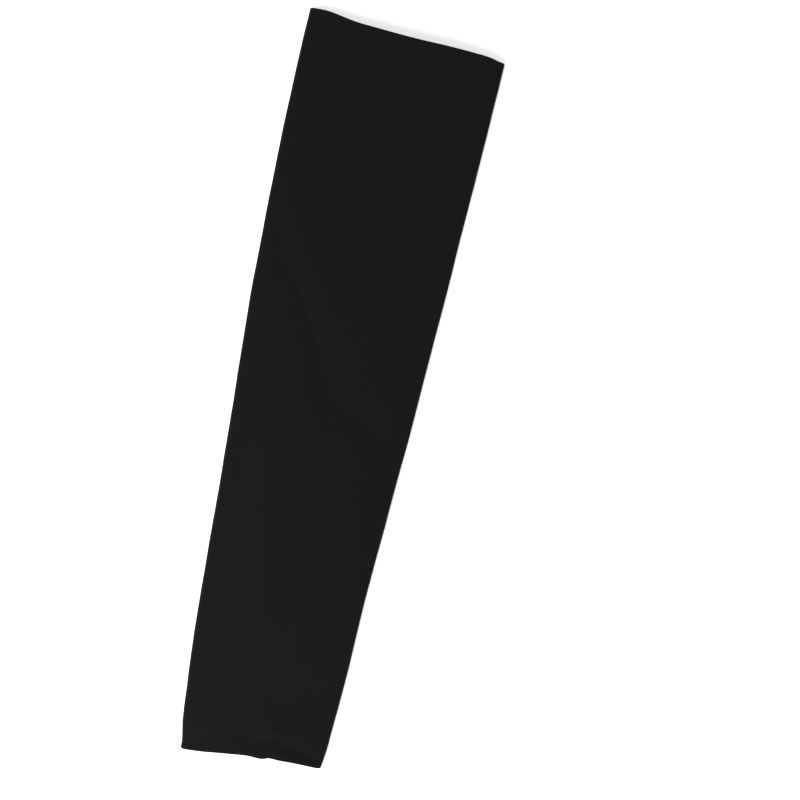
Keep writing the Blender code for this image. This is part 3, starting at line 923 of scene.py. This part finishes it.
def stitch_tree(name, legs):
    """A node tree that lays one stitch after another along a guide, upright on its outward attribute."""
    tree = bpy.data.node_groups.new(name, "GeometryNodeTree")
    tree.interface.new_socket("Guide", in_out="INPUT", socket_type="NodeSocketGeometry")
    for size in ("Spacing", "Width", "Height", "Thread radius"):
        tree.interface.new_socket(size, in_out="INPUT", socket_type="NodeSocketFloat")
    tree.interface.new_socket("Sides", in_out="INPUT", socket_type="NodeSocketInt")
    tree.interface.new_socket("Thread", in_out="INPUT", socket_type="NodeSocketMaterial")
    tree.interface.new_socket("Stitches", in_out="OUTPUT", socket_type="NodeSocketGeometry")
    given = add(tree, "NodeGroupInput").outputs
    path = add(tree, "GeometryNodeMeshToCurve", {"Mesh": given["Guide"]})
    spaced = add(tree, "GeometryNodeResampleCurve", {"Curve": path.outputs[0], "Length": given["Spacing"]},
                 mode="LENGTH")
    size = add(tree, "ShaderNodeCombineXYZ", {0: given["Spacing"], 1: given["Width"], 2: given["Height"]})
    joined = add(tree, "GeometryNodeJoinGeometry")
    for leg in legs:
        ends = [add(tree, "ShaderNodeVectorMath", {0: point, 1: size.outputs[0]}, operation="MULTIPLY")
                for point in leg]
        bent = add(tree, "GeometryNodeCurveQuadraticBezier", {
            "Resolution": LEG_EDGES, "Start": ends[0].outputs[0], "Middle": ends[1].outputs[0],
            "End": ends[2].outputs[0]})
        tree.links.new(bent.outputs[0], joined.inputs[0])
    ring = add(tree, "GeometryNodeCurvePrimitiveCircle", {"Resolution": given["Sides"],
                                                          "Radius": given["Thread radius"]})
    strand = add(tree, "GeometryNodeCurveToMesh", {"Curve": joined.outputs[0],
                                                   "Profile Curve": ring.outputs[0], "Fill Caps": True})
    outward = add(tree, "GeometryNodeInputNamedAttribute", {"Name": "outward"}, data_type="FLOAT_VECTOR")
    tangent = add(tree, "GeometryNodeInputTangent")
    upright = add(tree, "FunctionNodeAxesToRotation", {0: outward.outputs["Attribute"],
                                                       1: tangent.outputs[0]},
                  primary_axis="Z", secondary_axis="X")
    placed = add(tree, "GeometryNodeInstanceOnPoints", {"Points": spaced.outputs[0],
                                                        "Instance": strand.outputs[0],
                                                        "Rotation": upright.outputs[0]})
    real = add(tree, "GeometryNodeRealizeInstances", {0: placed.outputs[0]})
    smooth = add(tree, "GeometryNodeSetShadeSmooth", {0: real.outputs[0]})
    finished = add(tree, "GeometryNodeSetMaterial", {"Geometry": smooth.outputs[0],
                                                     "Material": given["Thread"]})
    add(tree, "NodeGroupOutput", {0: finished.outputs[0]})
    return tree


def guide_object(name, paths, closed):
    """Edges for stitches to follow. Each path is its points and the directions away from the cloth."""
    mesh = bpy.data.meshes.new(name)
    edges, start = [], 0
    for points, _ in paths:
        count = len(points)
        edges += [(start + i, start + (i + 1) % count) for i in range(count if closed else count - 1)]
        start += count
    mesh.from_pydata(np.concatenate([p for p, _ in paths]), edges, [])
    outward = mesh.attributes.new("outward", "FLOAT_VECTOR", "POINT")
    directions = np.concatenate([away for _, away in paths])
    outward.data.foreach_set("vector", directions.astype(np.float32).ravel())
    obj = bpy.data.objects.new(name, mesh)
    bpy.context.scene.collection.objects.link(obj)
    return obj


def sew(name, paths, closed, tree, settings):
    """The stitches of a node tree along paths, as a plain mesh."""
    guide = guide_object(name + "_guide", paths, closed)
    modifier = guide.modifiers.new("stitches", "NODES")
    modifier.node_group = tree
    for item in tree.interface.items_tree:
        if item.in_out == "INPUT" and item.name in settings:
            modifier[item.identifier] = settings[item.name]
    bpy.context.view_layer.update()
    evaluated = guide.evaluated_get(bpy.context.evaluated_depsgraph_get())
    mesh = bpy.data.meshes.new_from_object(evaluated)
    mesh.name = name
    guide.modifiers.remove(modifier)
    bpy.data.objects.remove(guide)
    if not mesh.polygons:
        raise RuntimeError(f"{name} came out empty")
    obj = bpy.data.objects.new(name, mesh)
    bpy.context.scene.collection.objects.link(obj)
    return obj


def finish_piece(obj, slot, *nodes):
    """The piece rides on the sleeve and stands for packed nodes, which it hides. Its slot, a finish, is not
    used.
    """
    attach(obj, "root")
    if nodes:
        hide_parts(*nodes)


def cloth_materials(scene):
    """The knit's face and its purl side, made at the first call."""
    cloth = scene.sleeve_cloth
    sides = (("jersey_knit_face", cloth.face, False), ("jersey_knit_purl", cloth.reverse, True))
    return [bpy.data.materials.get(name) or knit_material(name, cloth, colour, purl)
            for name, colour, purl in sides]


def thread_of(scene):
    """The thread's material, made at the first call."""
    known = bpy.data.materials.get("polyester_thread")
    return known or thread_material("polyester_thread", scene.sleeve_cloth, scene.sleeve_sewing)


class SLEEVE_OT_body(bpy.types.Operator):
    """Make the knit tube between the two hems"""

    bl_idname = "sleeve.make_body"
    bl_label = "Knit body"

    def execute(self, context):
        form, cut = SleeveForm(context.scene), context.scene.sleeve_cut
        body = make_body(form, cloth_materials(context.scene))
        finish_piece(body, "knit_cloth", "sleeve_body")
        return {"FINISHED"}


class SLEEVE_OT_hems(bpy.types.Operator):
    """Make the hems that are turned in at the upper arm and the wrist"""

    bl_idname = "sleeve.make_hems"
    bl_label = "Hems"

    def execute(self, context):
        form, cut = SleeveForm(context.scene), context.scene.sleeve_cut
        for mouth in form.mouths:
            band = make_hem(form, mouth, cloth_materials(context.scene))
            finish_piece(band, "hem_cloth", f"{mouth.name}_hem")
        return {"FINISHED"}


class SLEEVE_OT_hem_stitching(bpy.types.Operator):
    """Sew both hems: two needle rows outside, with the looper thread between them inside"""

    bl_idname = "sleeve.sew_hems"
    bl_label = "Hem stitching"

    def execute(self, context):
        scene = context.scene
        form, sewing, cloth = SleeveForm(scene), scene.sleeve_sewing, scene.sleeve_cloth
        needle = stitch_tree("needle stitches", NEEDLE_STITCH)
        looper = stitch_tree("looper stitches", LOOPER_STITCH)
        radius = sewing.thread / 2
        hem_thickness = 2 * cloth.ply + cloth.ply_gap
        for mouth in form.mouths:
            rows = []
            for back in (mouth.row, mouth.row + mouth.gauge, mouth.row + mouth.gauge / 2):
                along = form.follow(mouth.edge, form.columns) + mouth.inwards * back
                along = along[None, :]
                rows.append((form.place(form.columns, along)[0], form.normal(form.columns, along)[0]))
            inside = [(rows[2][0] - rows[2][1] * (hem_thickness + radius / 2), -rows[2][1])]
            common = {"Spacing": sewing.stitch, "Thread radius": radius, "Sides": sewing.thread_sides,
                      "Thread": thread_of(scene)}
            outer = sew(f"{mouth.name}_hem_needle_rows", rows[:2], True, needle,
                        common | {"Height": radius})
            inner = sew(f"{mouth.name}_hem_looper_thread", inside, True, looper,
                        common | {"Width": mouth.gauge, "Height": 2 * radius})
            for piece in (outer, inner):
                finish_piece(piece, "hem_cloth")
        return {"FINISHED"}


def strip_section(cut, cloth, steps=10):
    """The seam allowance's section: off the seam, inset under the outer side, round both cloth edges."""
    top, ply = cloth.ply + cloth.ply_gap, cut.seam_bulk / 2
    bottom = top + 2 * ply
    offs = [cut.allowance * i / steps for i in range(steps + 1)]
    section = [(off, top) for off in offs]
    for middle in (top + ply / 2, bottom - ply / 2):
        section += [(cut.allowance + ply / 2 * math.sin(t), middle - ply / 2 * math.cos(t))
                    for t in EDGE_TURNS]
        if middle < top + ply:
            section.append((cut.allowance - EDGE_BULGE * ply, top + ply))
    section += [(off, bottom) for off in offs[::-1]]
    section += [(-ply * math.sin(t), top + ply + ply * math.cos(t)) for t in EDGE_TURNS]
    return table("off inset", section)


def seam_rows(form):
    """Distances along the seam between the raw edges of the two hems, at every second row of the body."""
    _, right, seam, _ = form.section(0.0)
    covered = np.linspace(0, form.cut.allowance / (right - seam), STRIP_END_POINTS)
    start = form.wrist_edge(covered).max() + form.cut.wrist_hem + STRIP_CLEARANCE
    end = form.upper_edge(covered).min() - form.cut.upper_hem - STRIP_CLEARANCE
    between = [float(line(0.0)) for line in form.body_rows()[2:-2:2]]
    return np.array([start] + between + [end])


def make_seam_strip(form, material):
    """The two overlocked cloth edges, laid to the right of the seam on the inside of the top ply."""
    section = strip_section(form.cut, form.cloth)
    outer, normals = form.by_the_seam(section["off"], seam_rows(form))
    points = outer - normals * section["inset"][:, None]
    corner = np.arange(points[..., 0].size).reshape(points.shape[:2])
    beside = np.roll(corner, -1, axis=1)
    quads = np.stack((corner[:-1], beside[:-1], beside[1:], corner[1:]), axis=-1).reshape(-1, 4)
    mesh = bpy.data.meshes.new("overlocked_seam")
    ends = [corner[0][::-1].tolist(), corner[-1].tolist()]
    mesh.from_pydata(points.reshape(-1, 3), [], quads.tolist() + ends)
    mesh.materials.append(material)
    mesh.shade_smooth()
    mesh.set_sharp_from_angle(angle=SHARP_CORNER)
    obj = bpy.data.objects.new("overlocked_seam", mesh)
    bpy.context.scene.collection.objects.link(obj)
    return obj


class SLEEVE_OT_seam(bpy.types.Operator):
    """Make the overlocked seam inside the sleeve and the needle thread that shows in it outside"""

    bl_idname = "sleeve.make_seam"
    bl_label = "Seam"

    def execute(self, context):
        scene = context.scene
        form, sewing = SleeveForm(scene), scene.sleeve_sewing
        cut, cloth = scene.sleeve_cut, scene.sleeve_cloth
        _, back = cloth_materials(scene)
        finish_piece(make_seam_strip(form, back), "overlocked_edge", "seam_allowance")

        common = {"Sides": sewing.thread_sides, "Thread": thread_of(scene)}
        outer, normals = form.by_the_seam((0.0,), seam_rows(form)[::-1])
        under = [((outer - normals * (cloth.ply + cloth.ply_gap))[:, 0], normals[:, 0])]
        loops = sew("seam_overlock_thread", under, False, stitch_tree("overlock stitches", OVERLOCK_STITCH),
                    common | {"Spacing": sewing.overlock, "Width": cut.allowance, "Height": cut.seam_bulk,
                              "Thread radius": sewing.thread / 2})
        finish_piece(loops, "overlocked_edge")

        inset = cloth.ply + sewing.stitch
        whole = np.linspace(form.upper_edge(0.0) - inset, form.wrist_edge(0.0) + inset, SEAM_GUIDE_POINTS)
        outer, normals = form.by_the_seam((0.0,), whole)
        rungs = sew("seam_needle_thread", [(outer[:, 0], normals[:, 0])], False,
                    stitch_tree("seam rungs", SEAM_RUNG),
                    common | {"Spacing": sewing.stitch, "Width": sewing.rung, "Height": sewing.thread / 4,
                              "Thread radius": sewing.thread / 4})
        finish_piece(rungs, "overlocked_edge")
        return {"FINISHED"}


class SLEEVE_OT_stage(bpy.types.Operator):
    """Lay the floor and set the lights and the camera"""

    bl_idname = "sleeve.set_stage"
    bl_label = "Stage"

    def execute(self, context):
        scene = context.scene
        stage = scene.sleeve_stage
        mesh = bpy.data.meshes.new("floor")
        corners = [(x * FLOOR_REACH, y * FLOOR_REACH, 0) for x, y in ((-1, -1), (1, -1), (1, 1), (-1, 1))]
        mesh.from_pydata(corners, [], [(0, 1, 2, 3)])
        mesh.materials.append(floor_material(stage.floor, stage.glow))
        floor = bpy.data.objects.new("floor", mesh)
        scene.collection.objects.link(floor)

        world = bpy.data.worlds.new("even white room")
        world.use_nodes = True
        room = world.node_tree.nodes["Background"]
        room.inputs["Color"].default_value = WHITE
        room.inputs["Strength"].default_value = stage.world
        scene.world = world
        scene.view_settings.view_transform = "Standard"

        light = bpy.data.lights.new("key light", "AREA")
        light.shape = "DISK"
        light.size = stage.key_size
        light.energy = stage.key
        key = bpy.data.objects.new("key light", light)
        key.location = stage.key_place
        key.rotation_mode = "QUATERNION"
        key.rotation_quaternion = key.location.to_track_quat("Z", "Y")
        scene.collection.objects.link(key)

        lens = bpy.data.cameras.new("camera")
        lens.lens = stage.lens
        lens.sensor_width = SENSOR_WIDTH
        lens.clip_end = VIEW_DEPTH
        camera = bpy.data.objects.new("camera", lens)
        height = stage.view_width * stage.lens / SENSOR_WIDTH
        camera.location = (stage.view_x, stage.view_y, height + CAD_BOX[1].z / 2)
        camera.rotation_euler = (0.0, 0.0, stage.turn)
        scene.collection.objects.link(camera)
        scene.camera = camera
        return {"FINISHED"}


class SLEEVE_PT_panel(bpy.types.Panel):
    """The steps of making the sleeve, in order"""

    bl_idname = "SLEEVE_PT_panel"
    bl_label = "Arm Sleeve"
    bl_space_type = "VIEW_3D"
    bl_region_type = "UI"
    bl_category = "Arm Sleeve"

    def draw(self, context):
        for step in STEPS:
            self.layout.operator(step.bl_idname)
        for group in GROUPS:
            box = self.layout.box()
            box.label(text=group.__doc__)
            settings = getattr(context.scene, scene_name(group))
            for name in group.__annotations__:
                box.prop(settings, name)


GROUPS = (SleeveCut, SleeveCloth, SleeveLie, SleeveSewing, SleeveStage)
STEPS = (SLEEVE_OT_body, SLEEVE_OT_hems, SLEEVE_OT_hem_stitching, SLEEVE_OT_seam, SLEEVE_OT_stage)


def scene_name(group):
    """The name under which a scene holds a group of settings, such as sleeve_cut."""
    return "sleeve_" + group.__name__.removeprefix("Sleeve").lower()


def register():
    """Register the classes and hang each group of settings on the scene."""
    for kind in (*GROUPS, *STEPS, SLEEVE_PT_panel):
        bpy.utils.register_class(kind)
    for group in GROUPS:
        setattr(bpy.types.Scene, scene_name(group), PointerProperty(type=group))


def unregister():
    """Undo what register did."""
    for group in GROUPS:
        delattr(bpy.types.Scene, scene_name(group))
    for kind in reversed((*GROUPS, *STEPS, SLEEVE_PT_panel)):
        bpy.utils.unregister_class(kind)


def main():
    """Make the pieces and the stage."""
    register()
    bpy.ops.sleeve.make_body()
    bpy.ops.sleeve.make_hems()
    bpy.ops.sleeve.sew_hems()
    bpy.ops.sleeve.make_seam()
    bpy.ops.sleeve.set_stage()


if __name__ == "__main__":
    main()
